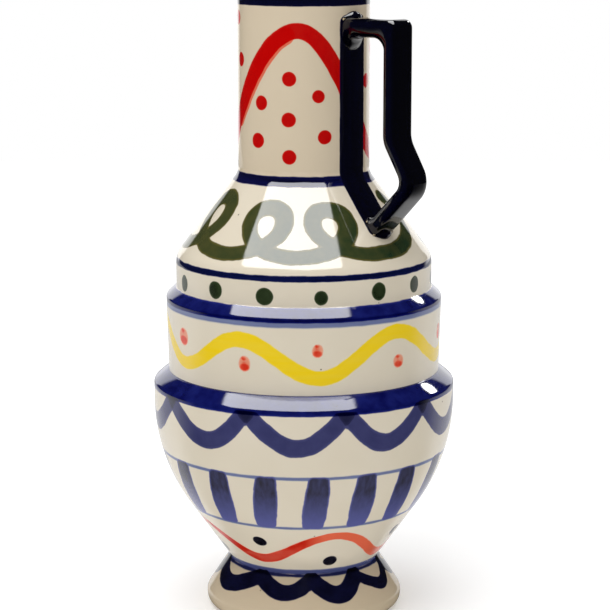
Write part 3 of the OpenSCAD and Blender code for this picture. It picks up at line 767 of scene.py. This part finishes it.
# Cobalt brushed on thick under the same glaze: nearly black, and blue only where it thins over an edge
def cobaltGlaze(name):
    material = bpy.data.materials.new(name)
    tree = emptyTree(material)
    place = addNode(tree, "ShaderNodeTexCoord").outputs["Object"]
    thin = addNode(tree, "ShaderNodeAttribute", {"attribute_name": "thin"}).outputs["Fac"]
    blotch = addNode(tree, "ShaderNodeTexNoise", None, {
        "Vector": place, "Scale": 130.0, "Detail": 3.0})  # 8 mm
    thin = addNode(tree, "ShaderNodeMath", {"operation": "MULTIPLY"}, {
        0: thin, 1: blotch.outputs["Fac"]}).outputs[0]
    colour = addNode(tree, "ShaderNodeMix", {"data_type": "RGBA"}, {
        0: thin, 6: linear(strap["cobalt"][0]), 7: linear(strap["cobalt"][1])}).outputs[2]
    shine = addNode(tree, "ShaderNodeMapRange", None, {
        "Value": blotch.outputs["Fac"], "From Min": 0.3, "From Max": 0.7,
        "To Min": strap["rough"][0], "To Max": strap["rough"][1]}).outputs[0]
    ripple = addNode(tree, "ShaderNodeTexNoise", None, {
        "Vector": place, "Scale": 70.0, "Detail": 1.0})  # 14 mm
    bump = addNode(tree, "ShaderNodeBump", None, {
        "Strength": 1.0, "Distance": strap["ripple"], "Height": ripple.outputs["Fac"]})
    shader = addNode(tree, "ShaderNodeBsdfPrincipled", None, {
        "Base Color": colour, "Roughness": shine, "IOR": glaze["ior"], "Normal": bump.outputs[0]})
    addNode(tree, "ShaderNodeOutputMaterial", None, {"Surface": shader.outputs[0]})
    return material


cobaltMaterial = cobaltGlaze("cobaltUnderglaze")
sideways = np.abs(pointsOf(strapHandle)[:, 1]) / (strap["width"] / 2)
keepValues(strapHandle, "thin", np.clip((sideways - strap["thinEdge"]) / (1 - strap["thinEdge"]), 0, 1))
finish(strapHandle, "handle", cobaltMaterial)


# Coils of clay thumbed into the corners over the upper arm and under the lower one
coil = {"steps": 28, "sides": 12, "upper": 3.4, "lower": 3.0, "bury": (1.2, 0.4), "tip": 0.05, "taper": 1.6,
        "thin": 0.6}


def coilSections(at, radius, low, high):
    half = math.asin(strap["width"] / 2 / at[0])
    sections = []
    for i in range(coil["steps"] + 1):
        k = 2 * i / coil["steps"] - 1
        r = radius * max(1 - k * k, coil["tip"]) ** coil["taper"]
        spots = [(at[0] - coil["bury"][0], at[1] - coil["bury"][1])]
        for a in np.linspace(low, high, coil["sides"]):
            spots.append((at[0] + r * math.cos(a), at[1] + r * math.sin(a)))
        turn = k * half
        sections.append([(x * math.cos(turn) * mm, x * math.sin(turn) * mm, z * mm) for x, z in spots])
    return sections


coneLean = math.atan(slope)
upperCoil = sweepRings("upperCoil", coilSections(outerLine[0], coil["upper"], 0, math.pi / 2))
lowerCoil = sweepRings("lowerCoil", coilSections(lowerRoot, coil["lower"], coneLean - math.pi / 2, lower))
for piece, node in ((upperCoil, "handle_upper_coil"), (lowerCoil, "handle_lower_coil")):
    keepValues(piece, "thin", np.full(len(piece.data.vertices), coil["thin"]))
    finish(piece, node, cobaltMaterial)


# Fired slip in the seams: matt earthenware with a fine grit, bare of glaze
slip = {"clay": ("#B9A27C", "#DCCBA8"), "rough": 0.85, "grit": 0.0001}


def firedSlip(name):
    material = bpy.data.materials.new(name)
    tree = emptyTree(material)
    place = addNode(tree, "ShaderNodeTexCoord").outputs["Object"]
    grit = addNode(tree, "ShaderNodeTexNoise", None, {"Vector": place, "Scale": 900.0, "Detail": 3.0})  # 1 mm
    colour = addNode(tree, "ShaderNodeMix", {"data_type": "RGBA"}, {
        0: grit.outputs["Fac"], 6: linear(slip["clay"][0]), 7: linear(slip["clay"][1])}).outputs[2]
    bump = addNode(tree, "ShaderNodeBump", None, {
        "Strength": 0.6, "Distance": slip["grit"], "Height": grit.outputs["Fac"]})
    shader = addNode(tree, "ShaderNodeBsdfPrincipled", None, {
        "Base Color": colour, "Roughness": slip["rough"], "Normal": bump.outputs[0]})
    addNode(tree, "ShaderNodeOutputMaterial", None, {"Surface": shader.outputs[0]})
    return material


slipMaterial = firedSlip("firedSlip")
for name in ("foot_slip", "belly_slip", "drum_slip", "neck_slip", "handle_upper_slip", "handle_lower_slip"):
    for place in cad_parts[name].material_slots:
        place.material = slipMaterial
print("slip dressed")


# A pale table in a soft studio. The glaze mirrors four patches of light: an overhead panel, a white sweep
# behind, the sweep's low part, and one small lamp. Each patch is (strength, edges), and it is where
# right * a + towards the camera * b + up * c > d for each of its edges (a, b, c, d, soft).
studio = {"table": 3.0, "tableBack": 0.6, "tableGap": 0.0002, "tableDark": (0.42, -0.1), "tableDim": 0.25,
          "tableTurn": (-0.08, 0.997, 0), "floor": 0.85, "floorGlow": (0.26, 0.11),
          "shadowGlow": (0.25, 0.7), "shadowReach": (0.14, 0.5), "ambient": 0.418, "room": 0.02,
          "keyPower": 8.5, "keySize": 1.1, "keyTurn": 25, "keyReach": 0.9, "keyHeight": 1.5, "keyAim": 0.2,
          "topPower": 13.8, "topSize": (1.36, 1.6), "topPlace": (-0.08, 0.0, 1.4),
          "patches": [(9.6,
                       [(1, 0.55, 0.74, 0, 0.02), (-1, 0.31, 0.39, 0, 0.02), (0, -1, 0.85, 0, 0.2),
                        (0.5, -1, 0.85, 0, 0.05), (-0.5, -1, 0.85, 0, 0.05), (0, 1, 0.6, 0, 0.02),
                        (0, 0, 1, 0.1, 0.02)]),
                      (1.5,
                       [(1, -0.577, 0, 0, 0.03), (-1, -0.577, 0, 0, 0.03), (0, 0, 1, 0, 0.02),
                        (0, 0, -1, -0.64, 0.05)]),
                      (1.3, [(1, -0.577, 0, 0, 0.1), (-0.766, -0.643, 0, 0, 0.1), (0, 0, -1, 0, 0.02)]),
                      (24.0, [(0.559, -0.659, 0.503, 0.9978, 0.0006)])]}

toRight = np.array([math.cos(way), math.sin(way), 0])
toCamera = np.array([math.sin(way), -math.cos(way), 0])

bpy.ops.object.select_all(action="DESELECT")
bpy.ops.mesh.primitive_plane_add(size=1.0, rotation=(0, 0, way), location=tuple(
    -toCamera * studio["tableBack"] - np.array([0, 0, studio["tableGap"]])))
floor = bpy.context.object
floor.name = "table"
floor.scale = (studio["table"], studio["table"], 1)
paper = bpy.data.materials.new("paleTable")
tree = emptyTree(paper)
rays = addNode(tree, "ShaderNodeLightPath")
spot = addNode(tree, "ShaderNodeTexCoord").outputs["Object"]
spot = addNode(tree, "ShaderNodeVectorMath", {"operation": "SUBTRACT"}, {
    0: spot, 1: (0, -studio["tableBack"] / studio["table"], 0)}).outputs[0]

# the camera sees white, and the vase's shadow near the foot
away = addNode(tree, "ShaderNodeVectorMath", {"operation": "LENGTH"}, {0: spot}).outputs["Value"]
white = addNode(tree, "ShaderNodeMapRange", {"interpolation_type": "SMOOTHSTEP"}, {
    "Value": away, "From Min": studio["shadowReach"][0] / studio["table"],
    "From Max": studio["shadowReach"][1] / studio["table"],
    "To Min": studio["shadowGlow"][0], "To Max": studio["shadowGlow"][1]})
seen = addNode(tree, "ShaderNodeMath", {"operation": "MULTIPLY_ADD"}, {
    0: rays.outputs["Is Glossy Ray"], 1: studio["floorGlow"][1], 2: studio["floorGlow"][0]})
glow = addNode(tree, "ShaderNodeMix", None, {
    0: rays.outputs["Is Camera Ray"], 2: seen.outputs[0], 3: white.outputs[0]})
matt = addNode(tree, "ShaderNodeBsdfDiffuse", None, {"Color": (studio["floor"],) * 3 + (1,)})
light = addNode(tree, "ShaderNodeEmission", None, {"Color": (1, 1, 1, 1), "Strength": glow.outputs[0]})
both = addNode(tree, "ShaderNodeAddShader", None, {0: matt.outputs[0], 1: light.outputs[0]})

# towards the camera the glaze mirrors a dark room and no table
spot = addNode(tree, "ShaderNodeVectorMath", {"operation": "NORMALIZE"}, {0: spot}).outputs[0]
behind = addNode(tree, "ShaderNodeVectorMath", {"operation": "DOT_PRODUCT"}, {
    0: spot, 1: studio["tableTurn"]}).outputs["Value"]
front = addNode(tree, "ShaderNodeMapRange", {"interpolation_type": "SMOOTHSTEP"}, {
    "Value": behind, "From Min": studio["tableDark"][0], "From Max": studio["tableDark"][1],
    "To Min": studio["tableDim"]})
front = addNode(tree, "ShaderNodeMath", {"operation": "MULTIPLY"}, {
    0: front.outputs[0], 1: rays.outputs["Is Glossy Ray"]})
shaded = addNode(tree, "ShaderNodeMixShader", None, {0: front.outputs[0], 1: both.outputs[0]})
addNode(tree, "ShaderNodeOutputMaterial", None, {"Surface": shaded.outputs[0]})
floor.data.materials.append(paper)

world = bpy.data.worlds.new("studio")
bpy.context.scene.world = world
tree = emptyTree(world)
ray = addNode(tree, "ShaderNodeTexCoord").outputs["Generated"]
mirrored = studio["room"]
for strength, edges in studio["patches"]:
    patch = strength
    for a, b, c, d, soft in edges:
        side = addNode(tree, "ShaderNodeVectorMath", {"operation": "DOT_PRODUCT"}, {
            0: ray, 1: list(toRight * a + toCamera * b + np.array([0, 0, c]))})
        part = addNode(tree, "ShaderNodeMapRange", {"interpolation_type": "SMOOTHSTEP"}, {
            "Value": side.outputs["Value"], "From Min": d - soft, "From Max": d + soft})
        patch = addNode(tree, "ShaderNodeMath", {"operation": "MULTIPLY"}, {
            0: patch, 1: part.outputs[0]}).outputs[0]
    mirrored = addNode(tree, "ShaderNodeMath", {"operation": "ADD"}, {0: mirrored, 1: patch}).outputs[0]
rays = addNode(tree, "ShaderNodeLightPath")
glossy = addNode(tree, "ShaderNodeMath", {"operation": "MAXIMUM"}, {
    0: rays.outputs["Is Glossy Ray"], 1: rays.outputs["Is Transmission Ray"]})
level = addNode(tree, "ShaderNodeMix", None, {0: glossy.outputs[0], 2: studio["ambient"], 3: mirrored})
level = addNode(tree, "ShaderNodeMix", None, {0: rays.outputs["Is Camera Ray"], 2: level.outputs[0], 3: 1.0})
sky = addNode(tree, "ShaderNodeBackground", None, {"Color": (1, 1, 1, 1), "Strength": level.outputs[0]})
addNode(tree, "ShaderNodeOutputWorld", None, {"Surface": sky.outputs[0]})

keyWay = way - math.radians(studio["keyTurn"])
bpy.ops.object.light_add(type="AREA", location=(
    studio["keyReach"] * math.sin(keyWay), -studio["keyReach"] * math.cos(keyWay), studio["keyHeight"]))
key = bpy.context.object
key.name = "keyLight"
key.data.size = studio["keySize"]
key.data.energy = studio["keyPower"]
key.visible_glossy = False
toward = np.array([0, 0, studio["keyAim"]]) - np.array(key.location)
key.rotation_euler = (math.acos(-toward[2] / np.linalg.norm(toward)), 0,
                      math.atan2(toward[1], toward[0]) - math.pi / 2)
bpy.ops.object.select_all(action="DESELECT")
right, near, high = studio["topPlace"]
bpy.ops.object.light_add(type="AREA", location=tuple(
    toRight * right + toCamera * near + np.array([0, 0, high])))
top = bpy.context.object
top.name = "overheadLight"
top.data.shape = "RECTANGLE"
top.data.size, top.data.size_y = studio["topSize"]
top.data.energy = studio["topPower"]
top.rotation_euler = (0, 0, way)
top.visible_glossy = False          # its reflection is the panel in the studio's own light
print("studio lit")
